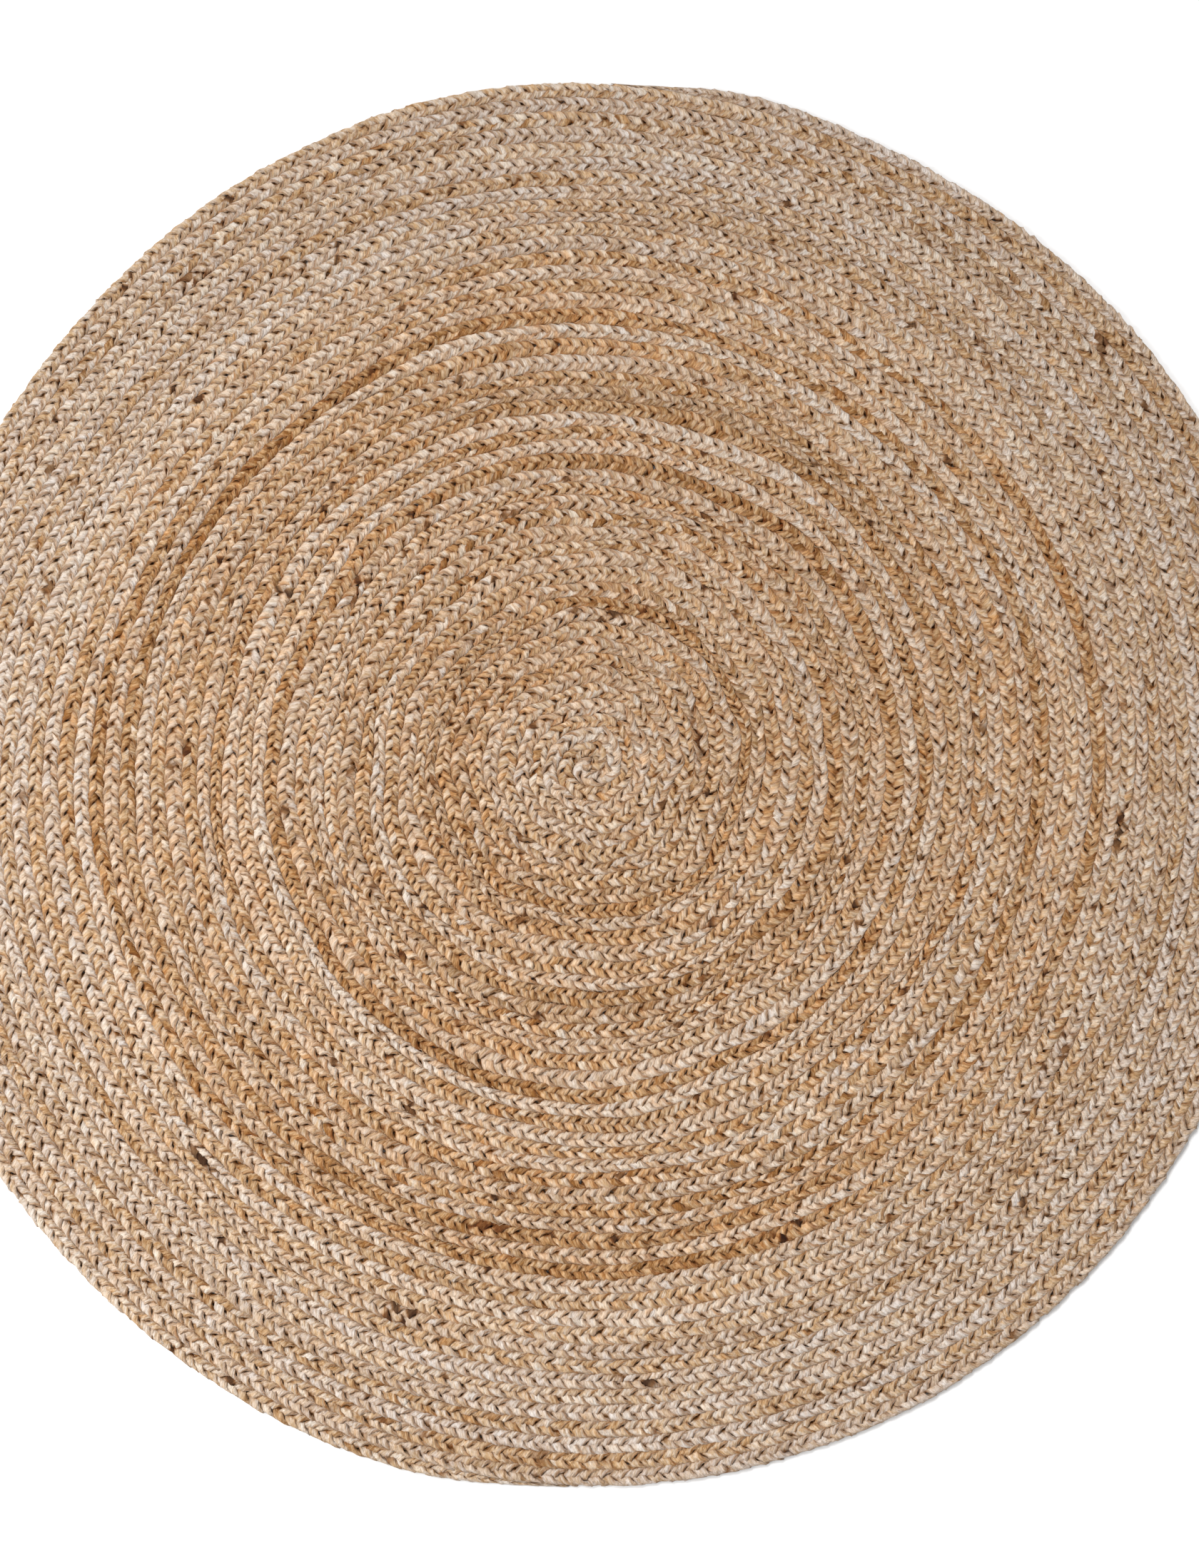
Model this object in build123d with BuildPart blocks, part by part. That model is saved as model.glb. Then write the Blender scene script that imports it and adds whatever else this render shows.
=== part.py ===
from build123d import *

import os
from math import cos, radians, sin

# A round braided rug, lying flat: two flat plaits, one pale and one golden, start
# face to face in the middle and are wound outwards side by side, and each row is
# sewn to the next by a thread along the top and a thread along the underside.
#
# Millimetres, +Z up. The origin is the middle of the footprint on the floor.
#
# The winding is a spiral of half turns. Above the X axis the rows are half rings
# around a centre half a pitch to the left of the origin, and below it they are half
# rings around a centre half a pitch to the right. Where the halves meet, every row
# runs on smoothly into the next row out, so a braid moves out two rows a turn and
# the two braids alternate. Turning the rug half round swaps the braids.

# Driving dimensions
BRAID_PITCH = 19.05  # from one row's middle to the next one's, seam included
SEAM_GAP = 0.3  # clear space between the edges of two rows
BRAID_THICKNESS = 10.0
BRAID_EDGE_RADIUS = 4.0  # the rounded edges of the flat plait
TURNS = 24  # whole turns of each braid

TAIL_ANGLE = 14.0  # degrees of the rim along which a braid's end narrows
TAIL_TIP_WIDTH = 4.0
TAIL_EDGE_RADIUS = 1.8
TAIL_SEAM_GAP = 0.65  # from the rim seam's middle to the tail's inner edge

THREAD_WIDTH = 1.0  # each sewing thread as a narrow ribbon in the groove of its seam
THREAD_HEIGHT = 0.7
THREAD_DEPTH = 1.55  # how far the thread lies below the face that it is sewn from

# Worked out from them
BRAID_WIDTH = BRAID_PITCH - SEAM_GAP
ROWS = 2 * TURNS
NEEDLE_THREAD_Z = BRAID_THICKNESS - THREAD_DEPTH - THREAD_HEIGHT / 2
BOBBIN_THREAD_Z = THREAD_DEPTH + THREAD_HEIGHT / 2
ABOVE, BELOW = 1, -1  # the sides of the X axis


def centre_of(side):
    """X of the centre that the half rings on one side of the X axis run around."""
    return -side * BRAID_PITCH / 2


def axis_of(side):
    return Axis((centre_of(side), 0, 0), (0, 0, 1))


def start_of(side, radius):
    """X where a half ring on that side starts, going anticlockwise seen from above."""
    return centre_of(side) + side * radius


def save(part, name):
    part.label = name
    export_step(part, f"parts/{name}.step")


def braid_turn(turn, first_side):
    """One whole turn of a braid: a half ring, then the next row's on the other side."""
    with BuildPart() as braid:
        for half, side in enumerate((first_side, -first_side)):
            row = 2 * (turn - 1) + half
            middle = start_of(side, (row + 0.5) * BRAID_PITCH)
            with BuildSketch(Plane.XZ):
                with Locations((middle, BRAID_THICKNESS / 2)):
                    RectangleRounded(BRAID_WIDTH, BRAID_THICKNESS, BRAID_EDGE_RADIUS)
            revolve(axis=axis_of(side), revolution_arc=180)
    return braid.part


def braid_tail(side):
    """The end of a braid, narrowing along the outside of the last row to a sewn tip."""
    inner = ROWS * BRAID_PITCH + TAIL_SEAM_GAP
    outer = (ROWS + 1) * BRAID_PITCH - SEAM_GAP / 2

    def at(radius, angle):
        x = start_of(side, radius * cos(radians(angle)))
        return (x, side * radius * sin(radians(angle)))

    with BuildPart() as tail:
        with BuildSketch(Plane.XY):
            with BuildLine():
                ThreePointArc(at(inner, 0), at(inner, TAIL_ANGLE / 2), at(inner, TAIL_ANGLE))
                Line(at(inner, TAIL_ANGLE), at(inner + TAIL_TIP_WIDTH, TAIL_ANGLE))
                TangentArc(at(outer, 0), at(inner + TAIL_TIP_WIDTH, TAIL_ANGLE), tangent=(0, side))
                Line(at(outer, 0), at(inner, 0))
            make_face()
        extrude(amount=BRAID_THICKNESS)
        flat_edges = tail.edges().group_by(Axis.Z)[0] + tail.edges().group_by(Axis.Z)[-1]
        long_edges = [edge for edge in flat_edges if abs(edge.center().Y) > 1]
        fillet(long_edges, radius=TAIL_EDGE_RADIUS)
    return tail.part


def seam_thread(first_side, height):
    """One thread's whole run: out along its spiral seam and on along a braid's tail."""
    with BuildPart() as thread:
        for seam in range(1, ROWS + 1):
            side = first_side if seam % 2 else -first_side
            with BuildSketch(Plane.XZ):
                with Locations((start_of(side, seam * BRAID_PITCH), height)):
                    Rectangle(THREAD_WIDTH, THREAD_HEIGHT)
            revolve(axis=axis_of(side), revolution_arc=TAIL_ANGLE if seam == ROWS else 180)
    return thread.part


os.makedirs("parts", exist_ok=True)

# The braids, turn by turn from the middle outwards, and their ends at the rim
for braid_name, first_side in (("pale_braid", ABOVE), ("golden_braid", BELOW)):
    for turn in range(1, TURNS + 1):
        save(braid_turn(turn, first_side), f"{braid_name}_turn_{turn:02d}")
    save(braid_tail(first_side), f"{braid_name}_tail")

# The sewing threads: a needle thread above and a bobbin thread below in each seam
for seam_name, first_side in (("inner", ABOVE), ("outer", BELOW)):
    save(seam_thread(first_side, NEEDLE_THREAD_Z), f"needle_thread_{seam_name}_seam")
    save(seam_thread(first_side, BOBBIN_THREAD_Z), f"bobbin_thread_{seam_name}_seam")
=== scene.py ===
import math

import bpy
import numpy as np
from mathutils import Matrix, Vector


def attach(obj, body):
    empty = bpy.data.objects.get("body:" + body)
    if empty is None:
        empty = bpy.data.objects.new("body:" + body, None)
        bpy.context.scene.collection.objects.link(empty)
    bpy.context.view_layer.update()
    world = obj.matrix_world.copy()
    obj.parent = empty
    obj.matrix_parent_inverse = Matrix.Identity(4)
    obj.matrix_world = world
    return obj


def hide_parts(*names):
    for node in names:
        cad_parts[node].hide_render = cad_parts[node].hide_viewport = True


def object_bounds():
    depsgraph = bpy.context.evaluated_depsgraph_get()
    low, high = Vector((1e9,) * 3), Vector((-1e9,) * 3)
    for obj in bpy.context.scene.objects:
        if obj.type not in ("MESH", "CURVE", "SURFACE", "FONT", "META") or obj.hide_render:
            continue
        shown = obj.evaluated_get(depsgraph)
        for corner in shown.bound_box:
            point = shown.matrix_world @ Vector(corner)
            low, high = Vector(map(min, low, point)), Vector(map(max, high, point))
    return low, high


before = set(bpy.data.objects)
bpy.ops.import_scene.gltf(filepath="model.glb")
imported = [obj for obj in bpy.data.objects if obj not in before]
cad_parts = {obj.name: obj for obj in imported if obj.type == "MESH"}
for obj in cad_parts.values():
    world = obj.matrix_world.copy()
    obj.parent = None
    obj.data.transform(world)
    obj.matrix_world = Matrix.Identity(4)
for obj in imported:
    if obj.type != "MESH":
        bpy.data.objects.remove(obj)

# A round jute rug: two three-strand plaits, one pale and one golden, wound side by
# side in a spiral and sewn together. Every strand is a creased, flattened bundle of
# fibres that follows the plait, and every seam has zigzag threads, above and below.
# Metres, in the model's frame: +Z up, the floor at the box's lowest face.

cad_low, cad_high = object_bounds()

TAU = 2 * math.pi
ABOVE, BELOW = 1, -1  # the sides of the X axis

# ---------------------------------------------------------------- sizes

TURNS = 24  # whole turns of each braid
ROWS = 2 * TURNS
SEAM_GAP = 0.0003  # clear space between the CAD rows
PITCH = ((cad_high.y - cad_low.y) / 2 + SEAM_GAP / 2) / ROWS  # from row to row
REACH = ROWS * PITCH  # the rug's radius
THICKNESS = cad_high.z - cad_low.z
MIDDLE_Z = (cad_low.z + cad_high.z) / 2
TAIL_ANGLE = math.radians(14)  # the rim along which a braid's end narrows
TAIL_END_SHARE = 0.22  # a tail's last width, as a share of the braid's
TAIL_SINK = 0.35 * THICKNESS  # how far it would sink to the floor if it narrowed to nothing

# The plait
STRANDS = 3
LOOSE_PERIOD = 0.054  # along the braid, until a strand is back at the same edge
TIGHT_PERIOD = 0.0425  # the same where the golden braid is plaited tightly
TIGHT_UNTIL = 17.0  # along the golden braid; from there on it grows looser
LOOSE_FROM = 27.0  # where it has become as loose as the pale one
MIDDLE_PERIOD = 0.049  # the one that the strands' sizes below are given for
SIDE_SWING = 0.0078  # how far a strand's middle goes to each side
EDGE_STAY = 0.01  # how much flatter than a plain wave's its turn at an edge is
LIFT = 0.0024  # how far its middle goes up and down
STRAND_HALF_WIDTH = 0.0059
STRAND_HALF_THICKNESS = 0.0028
STRAND_GIRTH = 3.2 * (STRAND_HALF_WIDTH + STRAND_HALF_THICKNESS)  # a little more than an ellipse's
FREE_HEIGHT = 0.0029  # from the braid's middle; beyond it the strands are pressed flat
PRESS_EASE = 1.25  # how gradually they are pressed
SQUARENESS = 0.68  # 1 is an ellipse, and less is squarer, from the strands pressing on each other
STRAND_TAKE_UP = 1.25  # a strand's own length over its braid's, about
RING_STEP = 0.0031  # along the braid, between the rings of points that a strand is made of
RING_POINTS = 12
PLAIT_STEP = 0.004  # along the braid, between the entries of the table of its periods

# How a strand's flat section turns as it follows the plait, and how it is pinched and swells
FLAT_TURN = math.radians(104)  # to each side, from facing sideways at an edge
FLAT_RIPPLE = math.radians(26)  # a smaller turn, three times as fast
WIDTH_PINCHED, WIDTH_SWELL = 0.93, 0.19  # its width between the faces, and what a face adds
THICKNESS_PINCHED, THICKNESS_SWELL = 0.97, 0.08

# The creases along a strand: three one way round and five the other, as shares of its section
THREE_CREASES = 0.070
FIVE_CREASES = 0.060
CREASE_RUN = 0.16  # along the braid, while the three creases move on by one
FIVE_TWIST = -0.7  # the five creases' twist, as a share of the three creases'
FIVE_START = 1.0

# The hand work's unevenness: how much, and the step along the braid in which it changes
PERIOD_CHANGE = (0.09, 0.31)
PERIOD_SHAKE = (0.06, 0.08)
PHASE_SLACK = (0.42, 0.034)
SWING_CHANGE = (0.11, 0.024)
LIFT_CHANGE = (0.26, 0.024)
SIDE_SHAKE = (0.0008, 0.015)
HEIGHT_SHAKE = (0.00055, 0.010)
WIDTH_CHANGE = (0.20, 0.017)
THICKNESS_CHANGE = (0.17, 0.013)
TWIST_CHANGE = (1.5, 0.08)
CREASE_CHANGE = (0.115, 0.0055)

# The shade painted into a strand's colour
OPEN_HEIGHT = 0.0039  # from the braid's middle; a strand lies open to the light beyond it
SHADE_DEPTH = 0.0024  # and in full shade this much below it
SIDE_SHADE = 0.75  # the shade on a strand's own side
SIDE_FROM = 0.72  # of its half width, where that shade begins
RIM_SHADE = 0.35  # what is left of the shade on the rug's own edge
RIM_FROM = 0.004  # from the last row's middle, where that edge begins

# The jute. A tone runs from 0, dark, to 1, pale, and greyness from 0, rusty, to 1, grey.
NOISE_SHIFT = 0.02  # in the noise, from one strand's place to the next one's
RIM_BATCH_FROM = 34.0  # along a braid, where a paler and greyer batch begins
RIM_TONE = 0.68  # the tone that both braids come close to in that batch
RIM_TONE_SHARE = 0.75  # how close
RIM_TONE_FADE = 12.0  # along a braid, until they have
RIM_EVEN = 0.30  # how much less the tone's long waves are in that batch
RIM_GREY = 0.30  # how much greyer that batch is
RIM_GREY_FADE = 14.0
MIDDLE_PALER = 0.06  # how much paler the innermost turns are
MIDDLE_REACH = 1.6  # along a braid
HANK_SHORTEST = 0.07  # along a braid
HANK_SPREAD = 0.42  # how much longer the longest one is
HANK_FADE = 0.012  # where one gives way to the next
TONE_SLOW = (0.26, 1.7)  # amount and step, as for the hand work
TONE_MIDDLING = (0.16, 0.42)
TONE_SHORT = (0.15, 0.016)
GREY_MIDDLE = 0.5
GREY_SLOW = (0.22, 0.23)
GREY_SHORT = (0.15, 0.02)
LARGE_MARKS = (2.9, 0.0055)  # the stretch that has one dark mark at most, and half of a mark's length
SMALL_MARKS = (0.42, 0.0032)
MARK_CLUSTERS = (2.3, 0.030)
CLUSTER_GRAIN = 0.006  # the step along a strand in which a cluster's marks come and go
CLUSTER_OPEN = 0.35  # of the drift from -1 to 1, above which there is a mark
MARK_STRENGTH = (-0.6, 1.0)  # drawn between these, and below 0 there is no mark
MARK_MARGIN = 0.15  # of a stretch, at each end, where no mark has its middle
MARK_EDGE = 2.2  # how sharply a mark begins and ends

# The stitches
STITCH = 0.0064  # along the seam
STITCH_REACH = 0.0021  # to each side of the seam
STITCH_DIP = 0.0014  # how far a thread sinks between its two rows
NEEDLE_TOP = 0.0030  # of a stitch's ends, above the braid's middle
THREAD_RADIUS = 0.00036
THREAD_SIDES = 4
THREAD_STEP = STITCH / 1.6  # along the thread itself, between its rings

# The camera looks almost straight down, and the rug lies turned before it.
IMAGE_TURN = math.radians(74)  # the image has the model turned this far anticlockwise
VIEW_TILT = math.radians(5.5)  # the camera leans this far from straight down
VIEW_DISTANCE = 2.9
CAMERA_AIM = (0.0118, -0.0250)  # the floor's point in the middle of the image, right and up
FRAME_WIDTH = 1.562  # of the floor that the image's short side takes in
IMAGE_ASPECT = 2197 / 1680  # the image's long side over its short one
SENSOR_MM = 36.0
VIEW_END = 100.0  # from the camera, past the floor's far edge

# The light
KEY_STRENGTH = 1.93
KEY_SOFTNESS = math.radians(20)
KEY_FROM = math.radians(125)  # in the image, anticlockwise from its right
KEY_RISE = 1.25  # for every metre sideways
FILL_FROM = math.radians(200)
FILL_DISTANCE = 2.3
FILL_HEIGHT = 2.2
FILL_SIZE = 2.3
FILL_POWER = 66
SKY_STRENGTH = 0.55

# The floor
FLOOR_RADIUS = 80.0
FLOOR_CORNERS = 96
FLOOR_GAP = 0.0004  # below the rug, so that no two faces share a plane
FLOOR_ALBEDO = 0.92

# ---------------------------------------------------------------- smooth chance

DRIFT_KNOTS = 8192  # values in a drift's table; after the last one, it starts again
DRIFT_START = 64.0  # where in the table a braid starts, as some places lie just before its start
HANK_KNOTS = 4096
MARK_KNOTS = 4096


def knots(seed, count, low=-1.0, high=1.0):
    return np.random.default_rng(seed).uniform(low, high, count)


def drift(along, step, seed):
    """A value from -1 to 1 that wanders smoothly along a braid, with a new aim every step."""
    table = knots(seed, DRIFT_KNOTS)
    place = np.asarray(along) / step + DRIFT_START
    cell = np.floor(place).astype(int)
    share = place - cell
    share = share * share * (3 - 2 * share)
    return table[cell % DRIFT_KNOTS] * (1 - share) + table[(cell + 1) % DRIFT_KNOTS] * share


def uneven(change, along, seed):
    amount, step = change
    return amount * drift(along, step, seed)


# ---------------------------------------------------------------- the winding

# Row n's half ring has its middle at (n + 0.5) pitches from its side's centre.
row_radii = (np.arange(ROWS + 1) + 0.5) * PITCH
row_starts = np.concatenate([[0.0], np.cumsum(row_radii * math.pi)])

# Waves of rows that bunch up and spread: how many lobes round the rug, how many waves
# from the middle to the rim, how far they push, and where they start.
WANDER = (
    (3, 1.3, 0.0030, 0.4),
    (5, 2.1, 0.0026, 2.1),
    (8, 3.6, 0.0022, 4.0),
    (13, 5.3, 0.0014, 1.2),
    (21, 8.2, 0.0009, 3.3),
    (0, 6.4, 0.0016, 0.9),
    (0, 11.7, 0.0009, 2.6),
)
WAVE_BEND = 2.0  # how far, as an angle, the lobes swing round on their way out
CALM_ROWS = 6  # from the middle; the waves grow to their full size there
RIM_CALM = 0.65  # how much smaller they are at the rim
# Sewn by hand, the whole rug is a little out of round: lobes, size, and where the first peak is.
OUT_OF_ROUND = (
    (2, 0.0042, 0.125),
    (4, 0.0073, 0.494),
    (5, 0.0033, 0.451),
)


def tail_share(beyond):
    """The share of its full size that a braid has, by how far it has gone past its last row."""
    share = np.clip(beyond / (TAIL_ANGLE * row_radii[ROWS]), 0, 1)
    return 1 - (1 - TAIL_END_SHARE) * share * share * (3 - 2 * share)


def rumple(points):
    """The rug as hands have wound it: rows that wander, bunch up and spread a little."""
    x, y = points[:, 0].copy(), points[:, 1].copy()
    radius = np.hypot(x, y)
    angle = np.arctan2(y, x)
    push = np.zeros_like(radius)
    for lobes, waves, size, start in WANDER:
        bend = WAVE_BEND * np.sin(TAU * waves * radius / REACH + start)
        push += size * np.sin(lobes * angle + start + bend)
    push *= np.clip(radius / (CALM_ROWS * PITCH), 0, 1)
    push *= 1 - RIM_CALM * np.clip(radius / REACH, 0, 1) ** 3
    for lobes, size, peak in OUT_OF_ROUND:
        push += size * np.cos(lobes * (angle - peak)) * (radius / REACH) ** 2
    share = 1 + push / np.maximum(radius, PITCH)
    points[:, 0] = x * share
    points[:, 1] = y * share
    return points


def wound(first_side, along, across, up):
    """Points given along, across and up from a braid's middle line, on the wound rug."""
    row = np.clip(np.searchsorted(row_starts, along, side="right") - 1, 0, ROWS)
    side = np.where(row % 2 == 0, first_side, -first_side)
    narrow = tail_share(along - row_starts[ROWS])
    radius = row_radii[row] - 0.5 * (1 - narrow) * PITCH * (row == ROWS)
    angle = (along - row_starts[row]) / row_radii[row]
    out = radius + across * narrow
    x = -side * PITCH / 2 + side * out * np.cos(angle)
    y = side * out * np.sin(angle)
    points = np.stack([x, y, MIDDLE_Z + up * narrow - (1 - narrow) * TAIL_SINK], axis=1)
    return rumple(points)


# ---------------------------------------------------------------- one strand


def plait_table(braid_seed, tight):
    """Places along a braid, the plait's period at each, and the periods passed up to it."""
    places = np.arange(-0.1, row_starts[ROWS] + 1.0, PLAIT_STEP)
    loosened = np.clip((places - TIGHT_UNTIL) / (LOOSE_FROM - TIGHT_UNTIL), 0, 1)
    period = LOOSE_PERIOD - (LOOSE_PERIOD - TIGHT_PERIOD) * tight * (1 - loosened)
    change = uneven(PERIOD_CHANGE, places, braid_seed + 61)
    shake = uneven(PERIOD_SHAKE, places, braid_seed + 62)
    period = period * (1 + change + shake)
    return places, period, np.cumsum(PLAIT_STEP / period)


def unit(vectors):
    return vectors / np.linalg.norm(vectors, axis=1)[:, None]


def strand_axes(phase, swing, lift, rate):
    """Across the flat of a strand, and along its width, at each ring."""
    count = len(phase)
    sideways = swing * rate * np.cos(phase)
    upwards = 2 * lift * rate * np.cos(2 * phase)
    tangent = unit(np.stack([np.ones(count), sideways, upwards], 1))
    # The flat of the strand faces up where it crosses over and sideways where it turns at an edge.
    tilt = FLAT_TURN * np.cos(phase) + FLAT_RIPPLE * np.cos(3 * phase)
    flat = np.stack([np.zeros(count), np.cos(tilt), np.sin(tilt)], 1)
    flat = unit(flat - tangent * (flat * tangent).sum(1)[:, None])
    return flat, np.cross(tangent, flat)


def creases(along, around, seed):
    """How far out each point of each ring lies, as a share of the plain section."""
    twist = (TAU * along / CREASE_RUN + uneven(TWIST_CHANGE, along, seed + 8))[:, None]
    crease = 1 + THREE_CREASES * np.cos(3 * around + twist)
    crease += FIVE_CREASES * np.cos(5 * around + FIVE_TWIST * twist + FIVE_START)
    for point in range(RING_POINTS):
        crease[:, point] += uneven(CREASE_CHANGE, along, seed * 31 + point)
    return crease


def pressed(heights):
    """Heights from the braid's middle, with what stands out pressed flat at the rug's faces."""
    height = np.abs(heights)
    room = THICKNESS / 2 - FREE_HEIGHT
    flattened = FREE_HEIGHT + room * np.tanh((height - FREE_HEIGHT) / room / PRESS_EASE)
    return np.sign(heights) * np.where(height > FREE_HEIGHT, flattened, height)


def shade(local, side_share):
    """How much painted shade each point gets, from 0 to 1: most deep between the strands, also on a
    strand's own sides, and less on the rug's own edge.
    """
    painted_shade = np.clip((OPEN_HEIGHT - np.abs(local[:, 2])) / SHADE_DEPTH, 0, 1)
    painted_shade = np.maximum(painted_shade, SIDE_SHADE * np.clip((side_share - SIDE_FROM) / (1 - SIDE_FROM), 0, 1))
    at_rim = (local[:, 0] > row_starts[ROWS - 1]) & (local[:, 1] > RIM_FROM)
    return painted_shade * np.where(at_rim, RIM_SHADE, 1.0)


def strand_rings(first_side, braid_seed, strand, plait, start, end):
    """The rings of points round one strand, and what its material needs to know at each."""
    count = max(8, round((end - start) / RING_STEP)) + 1
    along = np.linspace(start, end, count)
    seed = braid_seed * 10 + strand
    places, periods, passed = plait
    period = np.interp(along, places, periods)
    phase = TAU * (np.interp(along, places, passed) + strand / STRANDS)
    phase = phase + uneven(PHASE_SLACK, along, seed + 1)
    swing = SIDE_SWING * (1 + uneven(SWING_CHANGE, along, seed + 2))
    lift = LIFT * (1 + uneven(LIFT_CHANGE, along, seed + 3))
    across = swing * (np.sin(phase) + EDGE_STAY * np.sin(3 * phase))
    across += uneven(SIDE_SHAKE, along, seed + 4)
    up = lift * np.sin(2 * phase) + uneven(HEIGHT_SHAKE, along, seed + 5)
    flat, wide = strand_axes(phase, swing, lift, TAU / period)

    # A strand swells where it lies at a face of the rug, and is pinched between the faces.
    free = np.abs(np.sin(2 * phase))
    width_share = WIDTH_PINCHED + WIDTH_SWELL * free + uneven(WIDTH_CHANGE, along, seed + 6)
    half_width = STRAND_HALF_WIDTH * width_share * period / MIDDLE_PERIOD
    thickness_share = THICKNESS_PINCHED + THICKNESS_SWELL * free + uneven(THICKNESS_CHANGE, along, seed + 7)
    half_thick = STRAND_HALF_THICKNESS * thickness_share
    around = np.arange(RING_POINTS) * TAU / RING_POINTS
    cos_a, sin_a = np.cos(around), np.sin(around)
    crease = creases(along, around, seed)
    flat_part = half_thick[:, None] * crease * np.sign(cos_a) * np.abs(cos_a) ** SQUARENESS
    wide_part = half_width[:, None] * crease * np.sign(sin_a) * np.abs(sin_a) ** SQUARENESS

    local = np.stack([along, across, up], 1)[:, None, :]
    local = local + flat_part[..., None] * flat[:, None, :] + wide_part[..., None] * wide[:, None, :]
    local = local.reshape(-1, 3)
    local[:, 2] = pressed(local[:, 2])
    # The shade painted into the strand's colour, darkest deep between the strands and on its sides
    painted_shade = shade(local, np.tile(np.abs(sin_a), count))
    points = wound(first_side, local[:, 0], local[:, 1], local[:, 2])

    # The strand laid out straight, for its fibres; each strand has its own place in the noise.
    straight = np.empty((count, RING_POINTS, 3))
    straight[..., 0] = half_thick[:, None] * cos_a + NOISE_SHIFT * (seed % 7)
    straight[..., 1] = half_width[:, None] * sin_a + NOISE_SHIFT * (seed % 5)
    straight[..., 2] = (along * STRAND_TAKE_UP)[:, None]
    return points, straight.reshape(-1, 3), painted_shade, along, seed


# ---------------------------------------------------------------- the jute along a strand


def rim_share(along, fade):
    """How far along a braid has changed to the rim's batch of jute, from 0 to 1."""
    return np.clip((along - RIM_BATCH_FROM) / fade, 0, 1)


def hank_tones(along, seed, mean, spread):
    """The tone of the fibres along a strand, where one hank of jute gives way to the next."""
    rim = rim_share(along, RIM_TONE_FADE)
    mean = mean + RIM_TONE_SHARE * rim * (RIM_TONE - mean)
    mean = mean + MIDDLE_PALER * np.exp(-((along / MIDDLE_REACH) ** 2))
    table = knots(seed + 900, HANK_KNOTS, 0.0, 1.0)
    lengths = HANK_SHORTEST + HANK_SPREAD * knots(seed + 901, HANK_KNOTS, 0.0, 1.0) ** 2
    joints = np.cumsum(lengths)
    place = np.searchsorted(joints, along)
    fade = np.clip((joints[place] - along) / HANK_FADE, 0, 1)
    tone = table[place] * fade + table[place + 1] * (1 - fade)
    # Rounded like this, two of a braid's three strands have the same long waves.
    shared = seed // 10 * 10
    long_waves = uneven(TONE_SLOW, along, shared + 902) + uneven(TONE_MIDDLING, along, shared + 907)
    long_waves *= 1 - RIM_EVEN * rim
    short_waves = uneven(TONE_SHORT, along, seed + 903)
    return np.clip(mean + spread * (tone - 0.5) + long_waves + short_waves, 0, 1)


def greyness(along, seed):
    """How grey the fibres are: it changes slowly, from hank to hank, and is more at the rim."""
    grey = GREY_MIDDLE + RIM_GREY * rim_share(along, RIM_GREY_FADE)
    return grey + uneven(GREY_SLOW, along, seed + 904) + uneven(GREY_SHORT, along, seed + 905)


def blots(along, seed, marks):
    """Dark root ends in the jute: at most one in every gap, and some gaps have none."""
    gap, reach = marks
    table = knots(seed + 950, MARK_KNOTS, 0.0, 1.0)
    strength = np.clip(knots(seed + 951, MARK_KNOTS, *MARK_STRENGTH), 0, 1)
    cell = np.floor(along / gap).astype(int)
    middle = (cell + MARK_MARGIN + (1 - 2 * MARK_MARGIN) * table[cell % MARK_KNOTS]) * gap
    nearness = 1 - np.abs(along - middle) / reach
    return strength[cell % MARK_KNOTS] * np.clip(MARK_EDGE * nearness, 0, 1)


def dark_marks(along, braid_seed, seed):
    """The marks on one strand: its own large and small ones, and its share of the braid's clusters."""
    large = blots(along, seed * 7, LARGE_MARKS)
    small = blots(along, seed * 7 + 3, SMALL_MARKS)
    in_cluster = drift(along, CLUSTER_GRAIN, seed) > CLUSTER_OPEN
    clusters = blots(along, braid_seed * 7 + 5, MARK_CLUSTERS) * in_cluster
    return np.maximum(np.maximum(large, small), clusters)


# ---------------------------------------------------------------- meshes


def mesh_of(name, points, quads, caps, uvs, attributes):
    """A mesh from arrays: quads in rings, closed by flat caps."""
    loops = np.concatenate([quads.reshape(-1), caps.reshape(-1)]).astype(np.int32)
    sizes = np.concatenate([np.full(len(quads), 4), np.full(len(caps), caps.shape[1])]).astype(np.int32)
    starts = np.concatenate([[0], np.cumsum(sizes)[:-1]]).astype(np.int32)
    mesh = bpy.data.meshes.new(name)
    mesh.vertices.add(len(points))
    mesh.vertices.foreach_set("co", points.astype(np.float32).reshape(-1))
    mesh.loops.add(len(loops))
    mesh.loops.foreach_set("vertex_index", loops)
    mesh.polygons.add(len(sizes))
    mesh.polygons.foreach_set("loop_start", starts)
    mesh.polygons.foreach_set("loop_total", sizes)
    mesh.update(calc_edges=True)
    smooth = np.ones(len(sizes), bool)
    smooth[len(quads):] = False
    mesh.polygons.foreach_set("use_smooth", smooth)
    layer = mesh.uv_layers.new(name="OFBake")
    flat_uv = np.zeros((len(loops), 2), np.float32)
    flat_uv[: len(quads) * 4] = uvs.reshape(-1, 2)
    layer.data.foreach_set("uv", flat_uv.reshape(-1))
    for key, (kind, values) in attributes.items():
        attribute = mesh.attributes.new(key, kind, "POINT")
        field = "vector" if kind == "FLOAT_VECTOR" else "value"
        attribute.data.foreach_set(field, values.astype(np.float32).reshape(-1))
    mesh.validate()
    return mesh


def tube_faces(rings, ring_points, first):
    """Quads between rings in a row, and a cap at each end."""
    a = np.arange(rings - 1)[:, None] * ring_points
    k = np.arange(ring_points)[None]
    k2 = (k + 1) % ring_points
    quads = np.stack([a + k, a + k2, a + ring_points + k2, a + ring_points + k], -1).reshape(-1, 4)
    start_cap = np.arange(ring_points)[::-1]
    end_cap = (rings - 1) * ring_points + np.arange(ring_points)
    return quads + first, np.stack([start_cap, end_cap]) + first


UV_SLACK = 1.25  # the sheet's area over the tubes' own, for the strips' margins
STRIP_MARGIN = 0.10  # of a strip's height, at each side of it
STRIP_SPAN, STRIP_START = 0.998, 0.001  # of the sheet's width


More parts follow.
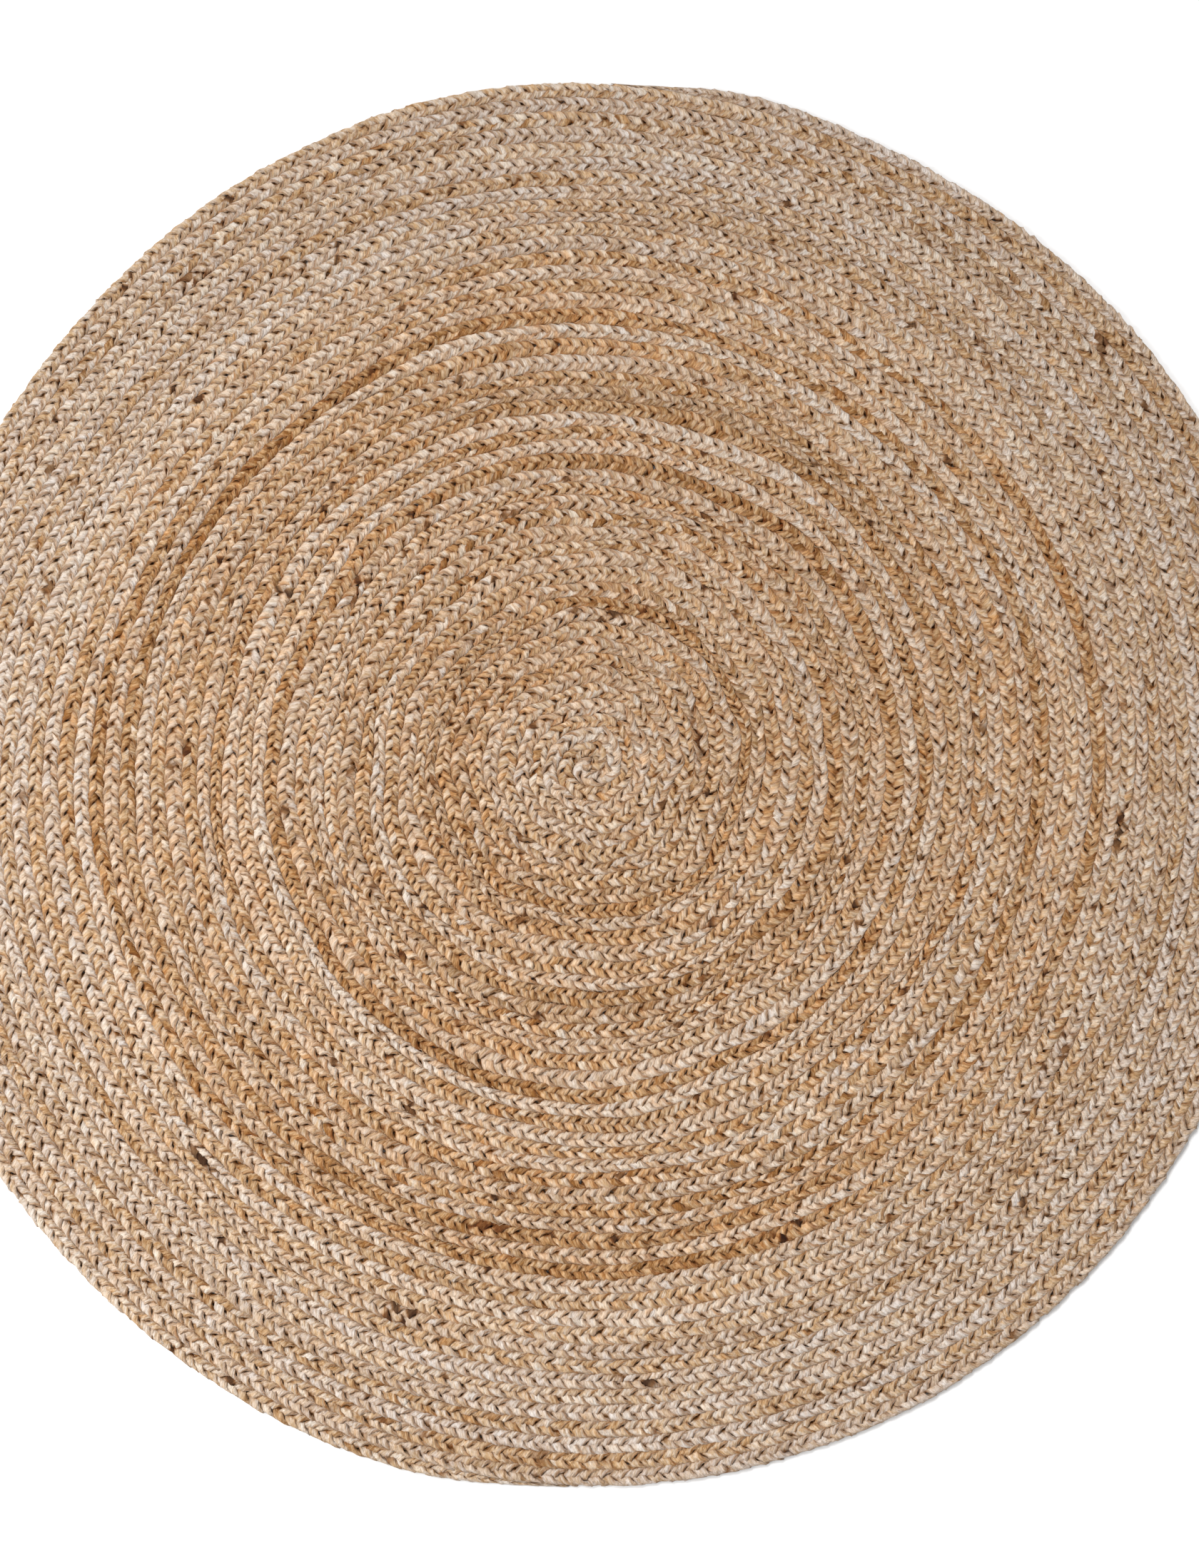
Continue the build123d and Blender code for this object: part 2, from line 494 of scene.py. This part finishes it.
def strip_uvs(ring_counts, ring_points, ring_step, girth):
    """UVs that lay tubes out as side-by-side strips, so that fibres run straight along them."""
    total = sum(ring_counts) * ring_step
    side = math.sqrt(total * girth * UV_SLACK)
    per_strip = max(4, int(side / ring_step))
    strips = sum(-(-(rings - 1) // per_strip) for rings in ring_counts)
    height, margin = 1.0 / strips, STRIP_MARGIN / strips
    found, strip = [], 0
    for rings in ring_counts:
        j = np.arange(rings - 1)[:, None]
        k = np.arange(ring_points)[None]
        base = (strip + j // per_strip) * height + margin
        low_u = (j % per_strip) / per_strip * STRIP_SPAN + STRIP_START + 0 * k
        high_u = (j % per_strip + 1) / per_strip * STRIP_SPAN + STRIP_START + 0 * k
        low_v = base + k / ring_points * (height - 2 * margin)
        high_v = base + (k + 1) / ring_points * (height - 2 * margin)
        corners = [(low_u, low_v), (low_u, high_v), (high_u, high_v), (high_u, low_v)]
        found.append(np.stack([np.stack(corner, -1) for corner in corners], 2).reshape(-1, 4, 2))
        strip += -(-(rings - 1) // per_strip)
    return np.concatenate(found)


def finish_piece(name, mesh, material, slot_name, *nodes):
    piece = bpy.data.objects.new(name, mesh)
    bpy.context.scene.collection.objects.link(piece)
    mesh.materials.append(material)
    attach(piece, "root")
    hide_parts(*nodes)
    return piece


# ---------------------------------------------------------------- materials


def node(tree, kind, place, **settings):
    made = tree.nodes.new(kind)
    made.location = place
    for key, value in settings.items():
        setattr(made, key, value)
    return made


def feed(tree, socket, value):
    """Link a socket to another one, or set it to a constant."""
    if isinstance(value, bpy.types.NodeSocket):
        tree.links.new(value, socket)
    else:
        socket.default_value = value


def attribute(tree, place, name, output="Fac"):
    return node(tree, "ShaderNodeAttribute", place, attribute_name=name).outputs[output]


def arithmetic(tree, place, operation, *values, clamp=False):
    made = node(tree, "ShaderNodeMath", place, operation=operation, use_clamp=clamp)
    for socket, value in zip(made.inputs, values):
        feed(tree, socket, value)
    return made.outputs[0]


def mix(tree, place, blend, share, first, second):
    made = node(tree, "ShaderNodeMix", place, data_type="RGBA", blend_type=blend)
    feed(tree, made.inputs["Factor"], share)
    feed(tree, made.inputs["A"], first)
    feed(tree, made.inputs["B"], second)
    return made.outputs["Result"]


def colour_ramp(tree, place, source, stops):
    ramp = node(tree, "ShaderNodeValToRGB", place)
    ramp.color_ramp.elements[0].position = stops[0][0]
    ramp.color_ramp.elements[0].color = (*stops[0][1], 1)
    ramp.color_ramp.elements[1].position = stops[-1][0]
    ramp.color_ramp.elements[1].color = (*stops[-1][1], 1)
    for position, colour in stops[1:-1]:
        ramp.color_ramp.elements.new(position).color = (*colour, 1)
    tree.links.new(source, ramp.inputs["Fac"])
    return ramp.outputs["Color"]


def mapped_noise(tree, vector, place, scale, detail, roughness):
    """Noise in a strand's own straight space: scale is per metre across and along it."""
    mapping = node(tree, "ShaderNodeMapping", place)
    mapping.inputs["Scale"].default_value = scale
    tree.links.new(vector, mapping.inputs["Vector"])
    noise = node(tree, "ShaderNodeTexNoise", (place[0] + 200, place[1]))
    noise.inputs["Scale"].default_value = 1.0
    noise.inputs["Detail"].default_value = detail
    noise.inputs["Roughness"].default_value = roughness
    tree.links.new(mapping.outputs["Vector"], noise.inputs["Vector"])
    return noise.outputs["Fac"]


def centred(tree, place, noise, reach):
    """Noise that runs from 0 to 1, spread over a reach with its middle at 0."""
    return arithmetic(tree, place, "MULTIPLY_ADD", noise, reach, -reach / 2)


def bump(tree, place, shader, height, strength, distance):
    made = node(tree, "ShaderNodeBump", place)
    made.inputs["Strength"].default_value = strength
    made.inputs["Distance"].default_value = distance
    tree.links.new(height, made.inputs["Height"])
    tree.links.new(made.outputs["Normal"], shader.inputs["Normal"])


WHITE = (1.0, 1.0, 1.0)
PAINTED_SHADE_TINT = (0.40, 0.205, 0.055, 1)  # painted shade: what is left of a strand's colour between the strands
WISP_COLOURS = ((0.28, (0.62, 0.54, 0.46)), (0.55, WHITE), (0.78, (1.07, 1.06, 1.05)))
LUMP_COLOURS = ((0.30, (0.74, 0.68, 0.60)), (0.50, WHITE), (0.70, (1.08, 1.085, 1.09)))
CASTS = (  # from rusty to grey
    (0.05, (1.055, 0.885, 0.69)),
    (0.35, (1.03, 0.995, 0.95)),
    (0.60, (0.995, 1.03, 1.06)),
    (0.95, (0.94, 1.02, 1.15)),
)
STAINS = (  # from clean to the heart of a dark mark
    (0.00, WHITE),
    (0.45, (0.42, 0.27, 0.15)),
    (1.00, (0.07, 0.035, 0.018)),
)


def jute(name, stops):
    """Dry jute: a tone for each hank, fine lengthwise fibres, painted shade in the creases between the
    strands, and dark root marks.
    """
    material = bpy.data.materials.new(name)
    material.use_nodes = True
    tree = material.node_tree
    shader = tree.nodes["Principled BSDF"]
    straight = attribute(tree, (-1500, 0), "straight", "Vector")
    streaks = mapped_noise(tree, straight, (-1300, 0), (900, 900, 22), 4.0, 0.65)
    wisps = mapped_noise(tree, straight, (-1300, -250), (2600, 2600, 60), 3.0, 0.6)
    patches = mapped_noise(tree, straight, (-1300, -500), (190, 190, 105), 2.0, 0.6)
    hues = mapped_noise(tree, straight, (-1300, -750), (120, 120, 45), 2.0, 0.5)
    lumps = mapped_noise(tree, straight, (-1300, -1000), (330, 330, 240), 2.0, 0.5)

    # The tone of the hank, with its streaks and patches
    tone = attribute(tree, (-1500, 300), "tone")
    tone = arithmetic(tree, (-850, 300), "ADD", tone, centred(tree, (-1000, 300), streaks, 0.75))
    tone = arithmetic(tree, (-780, 200), "ADD", tone, centred(tree, (-1000, 150), patches, 1.6), clamp=True)
    colour = colour_ramp(tree, (-700, 400), tone, stops)

    # Single fibres, rusty and grey places, and knobs
    fine = colour_ramp(tree, (-700, 0), wisps, WISP_COLOURS)
    colour = mix(tree, (-380, 300), "MULTIPLY", 0.75, colour, fine)
    grey = attribute(tree, (-1500, 900), "grey")
    hue_shift = centred(tree, (-950, -250), hues, 1.35)
    hue = arithmetic(tree, (-820, -250), "SUBTRACT", grey, hue_shift, clamp=True)
    colour = mix(tree, (-300, 450), "MULTIPLY", 1.0, colour, colour_ramp(tree, (-700, -250), hue, CASTS))
    knobs = colour_ramp(tree, (-700, -650), lumps, LUMP_COLOURS)
    colour = mix(tree, (-220, 500), "MULTIPLY", 1.0, colour, knobs)

    # Painted shade between the strands and on their sides, and the dark marks
    painted_shade = attribute(tree, (-1500, 700), "painted_shade")
    between = mix(tree, (-250, 600), "MIX", painted_shade, (*WHITE, 1), PAINTED_SHADE_TINT)
    colour = mix(tree, (-150, 450), "MULTIPLY", 1.0, colour, between)
    stain = colour_ramp(tree, (-350, 900), attribute(tree, (-1500, 500), "blot"), STAINS)
    colour = mix(tree, (-50, 300), "MULTIPLY", 1.0, colour, stain)
    tree.links.new(colour, shader.inputs["Base Color"])

    rough = node(tree, "ShaderNodeMapRange", (-400, -150))
    rough.inputs["To Min"].default_value = 0.52
    rough.inputs["To Max"].default_value = 0.86
    tree.links.new(streaks, rough.inputs["Value"])
    tree.links.new(rough.outputs["Result"], shader.inputs["Roughness"])
    shader.inputs["Specular IOR Level"].default_value = 0.18

    height = arithmetic(tree, (-650, -400), "MULTIPLY_ADD", wisps, 0.3, streaks)
    height = arithmetic(tree, (-500, -400), "MULTIPLY_ADD", lumps, 2.0, height)
    bump(tree, (-250, -400), shader, height, 0.9, 0.0017)
    return material


def thread_material():
    """Spun sewing thread in the jute's own colour, with its twist."""
    material = bpy.data.materials.new("sewing_thread")
    material.use_nodes = True
    tree = material.node_tree
    shader = tree.nodes["Principled BSDF"]
    straight = attribute(tree, (-900, 0), "straight", "Vector")
    plies = mapped_noise(tree, straight, (-700, 0), (2500, 2500, 900), 2.0, 0.5)
    colour = colour_ramp(tree, (-250, 100), plies, ((0.3, (0.42, 0.27, 0.14)), (0.7, (0.66, 0.50, 0.33))))
    tree.links.new(colour, shader.inputs["Base Color"])
    bump(tree, (-250, -200), shader, plies, 0.5, 0.0002)
    shader.inputs["Roughness"].default_value = 0.6
    shader.inputs["Specular IOR Level"].default_value = 0.4
    return material


# ---------------------------------------------------------------- the braids

PALE_JUTE = (
    (0.00, (0.320, 0.165, 0.060)),
    (0.25, (0.485, 0.312, 0.175)),
    (0.50, (0.605, 0.437, 0.300)),
    (0.75, (0.675, 0.526, 0.408)),
    (1.00, (0.735, 0.612, 0.500)),
)
GOLDEN_JUTE = (
    (0.00, (0.280, 0.120, 0.030)),
    (0.25, (0.465, 0.258, 0.112)),
    (0.50, (0.600, 0.395, 0.222)),
    (0.75, (0.680, 0.507, 0.360)),
    (1.00, (0.740, 0.610, 0.480)),
)
BRAIDS = (
    # name, the side of the X axis that it starts on, seed, its colours,
    # its tone (mean and spread), and how tightly it is plaited at first, from 0 to 1
    ("pale_braid", ABOVE, 11, PALE_JUTE, (0.70, 0.22), 0),
    ("golden_braid", BELOW, 23, GOLDEN_JUTE, (0.49, 0.28), 1),
)
ATTRIBUTES = ("straight", "tone", "blot", "painted_shade", "grey")


def braid_stretch(name, braid_name, material, first_side, braid_seed, tone, plait, start, end):
    """The three strands of a braid between two places along it, as closed bundles."""
    points, quads, caps, counts = [], [], [], []
    values = {key: [] for key in ATTRIBUTES}
    first = 0
    for strand in range(STRANDS):
        rings = strand_rings(first_side, braid_seed, strand, plait, start, end)
        ring_points, straight, painted_shade, along, seed = rings
        faces, ends = tube_faces(len(along), RING_POINTS, first)
        points.append(ring_points)
        quads.append(faces)
        caps.append(ends)
        counts.append(len(along))
        values["straight"].append(straight)
        values["painted_shade"].append(painted_shade)
        values["tone"].append(np.repeat(hank_tones(along, seed * 7, *tone), RING_POINTS))
        values["blot"].append(np.repeat(dark_marks(along, braid_seed, seed), RING_POINTS))
        values["grey"].append(np.repeat(greyness(along, seed * 7), RING_POINTS))
        first += len(ring_points)
    uvs = strip_uvs(counts, RING_POINTS, RING_STEP * STRAND_TAKE_UP, STRAND_GIRTH)
    kinds = {key: "FLOAT_VECTOR" if key == "straight" else "FLOAT" for key in ATTRIBUTES}
    attributes = {key: (kinds[key], np.concatenate(values[key])) for key in ATTRIBUTES}
    joined = [np.concatenate(parts) for parts in (points, quads, caps)]
    mesh = mesh_of(name, *joined, uvs, attributes)
    return finish_piece(name + "_strands", mesh, material, braid_name, name)


for braid_name, first_side, braid_seed, colours, tone, tight in BRAIDS:
    plait = plait_table(braid_seed, tight)
    braid = (braid_name, jute(braid_name, colours), first_side, braid_seed, tone, plait)
    for turn in range(1, TURNS + 1):
        start, end = row_starts[2 * turn - 2], row_starts[2 * turn]
        braid_stretch(f"{braid_name}_turn_{turn:02d}", *braid, start, end)
    tail_start = row_starts[ROWS]
    braid_stretch(f"{braid_name}_tail", *braid, tail_start, tail_start + TAIL_ANGLE * row_radii[ROWS])

# ---------------------------------------------------------------- the sewing threads


def stitched(first_side, face):
    """The line of one zigzag thread: out along its spiral seam, a few points to a stitch."""
    lines = []
    for seam in range(1, ROWS + 1):
        side = first_side if seam % 2 else -first_side
        radius = seam * PITCH
        span = TAIL_ANGLE if seam == ROWS else math.pi
        stitches = max(4, round(radius * span / STITCH))
        place = np.arange(stitches * 2) / 2
        angle = place / stitches * span
        swing = 2 * np.abs(2 * (place / 2 % 1) - 1) - 1
        # Along a tail, the stitches' outer ends come down with it.
        outward = (1 + swing) / 2 if seam == ROWS else np.zeros(len(swing))
        size = 1 - (1 - tail_share(angle * radius)) * outward
        out = radius + swing * STITCH_REACH * size
        rise = (NEEDLE_TOP - STITCH_DIP * (1 - np.abs(swing)) ** 0.8) * size
        lines.append(np.stack([
            -side * PITCH / 2 + side * out * np.cos(angle),
            side * out * np.sin(angle),
            MIDDLE_Z + face * rise - (1 - size) * TAIL_SINK,
        ], 1))
    return rumple(np.concatenate(lines))


def thread_piece(name, material, first_side, face):
    line = stitched(first_side, face)
    step = unit(np.gradient(line, axis=0))
    level = unit(np.cross(step, (0, 0, 1.0)))
    upward = np.cross(level, step)
    around = np.arange(THREAD_SIDES) * TAU / THREAD_SIDES
    cos_a, sin_a = np.cos(around)[:, None], np.sin(around)[:, None]
    ring = cos_a * level[:, None] + sin_a * upward[:, None]
    points = (line[:, None] + THREAD_RADIUS * ring).reshape(-1, 3)
    length = np.concatenate([[0], np.cumsum(np.linalg.norm(np.diff(line, axis=0), axis=1))])
    straight = np.empty((len(line), THREAD_SIDES, 3))
    straight[..., 0] = THREAD_RADIUS * cos_a[:, 0]
    straight[..., 1] = THREAD_RADIUS * sin_a[:, 0]
    straight[..., 2] = length[:, None]
    quads, caps = tube_faces(len(line), THREAD_SIDES, 0)
    uvs = strip_uvs([len(line)], THREAD_SIDES, THREAD_STEP, TAU * THREAD_RADIUS)
    mesh = mesh_of(name, points, quads, caps, uvs, {"straight": ("FLOAT_VECTOR", straight.reshape(-1, 3))})
    return finish_piece(name + "_stitches", mesh, material, "sewing_thread", name)


thread_look = thread_material()
for seam_name, first_side in (("inner", ABOVE), ("outer", BELOW)):
    thread_piece(f"needle_thread_{seam_name}_seam", thread_look, first_side, 1)
    thread_piece(f"bobbin_thread_{seam_name}_seam", thread_look, first_side, -1)

# ---------------------------------------------------------------- floor, light and camera


def floor_material():
    material = bpy.data.materials.new("floor")
    material.use_nodes = True
    shader = material.node_tree.nodes["Principled BSDF"]
    shader.inputs["Base Color"].default_value = (FLOOR_ALBEDO, FLOOR_ALBEDO, FLOOR_ALBEDO, 1)
    shader.inputs["Roughness"].default_value = 0.9
    return material


def floor():
    """A wide round floor, so that its far edge is a level line from everywhere."""
    mesh = bpy.data.meshes.new("floor")
    z = cad_low.z - FLOOR_GAP
    angles = [TAU * step / FLOOR_CORNERS for step in range(FLOOR_CORNERS)]
    rim = [(FLOOR_RADIUS * math.cos(angle), FLOOR_RADIUS * math.sin(angle), z) for angle in angles]
    mesh.from_pydata(rim, [], [tuple(range(FLOOR_CORNERS))])
    mesh.materials.append(floor_material())
    made = bpy.data.objects.new("floor", mesh)
    bpy.context.scene.collection.objects.link(made)


def image_direction(angle):
    """A level direction in the model, given as an angle in the image."""
    return Vector((math.cos(angle - IMAGE_TURN), math.sin(angle - IMAGE_TURN), 0))


def shining(direction):
    """The rotation of a light that shines down from a direction."""
    return direction.to_track_quat("Z", "Y").to_euler()


def key_light():
    light = bpy.data.lights.new("key", "SUN")
    light.energy = KEY_STRENGTH
    light.angle = KEY_SOFTNESS
    made = bpy.data.objects.new("key", light)
    made.rotation_euler = shining(image_direction(KEY_FROM) + Vector((0, 0, KEY_RISE)))
    bpy.context.scene.collection.objects.link(made)


def fill_light():
    light = bpy.data.lights.new("fill", "AREA")
    light.shape = "DISK"
    light.size = FILL_SIZE
    light.energy = FILL_POWER
    made = bpy.data.objects.new("fill", light)
    made.location = image_direction(FILL_FROM) * FILL_DISTANCE + Vector((0, 0, FILL_HEIGHT))
    made.rotation_euler = shining(made.location.copy())
    bpy.context.scene.collection.objects.link(made)


def sky():
    world = bpy.data.worlds.new("world")
    world.use_nodes = True
    background = world.node_tree.nodes["Background"]
    background.inputs["Color"].default_value = (*WHITE, 1)
    background.inputs["Strength"].default_value = SKY_STRENGTH
    bpy.context.scene.world = world


def camera():
    right = image_direction(0)
    upwards = image_direction(math.pi / 2)
    back = Vector((0, 0, 1)) * math.cos(VIEW_TILT) - upwards * math.sin(VIEW_TILT)
    top = back.cross(right)
    data = bpy.data.cameras.new("camera")
    made = bpy.data.objects.new("camera", data)
    aim = right * CAMERA_AIM[0] + upwards * CAMERA_AIM[1]
    turn = Matrix((right, top, back)).transposed().to_4x4()
    made.matrix_world = Matrix.Translation(aim + back * VIEW_DISTANCE) @ turn
    data.sensor_fit = "AUTO"
    data.sensor_width = SENSOR_MM
    data.lens = SENSOR_MM * VIEW_DISTANCE / (FRAME_WIDTH * IMAGE_ASPECT)
    data.clip_end = VIEW_END
    bpy.context.scene.collection.objects.link(made)
    bpy.context.scene.camera = made


floor()
camera()
key_light()
fill_light()
sky()
bpy.context.scene.view_settings.view_transform = "Standard"
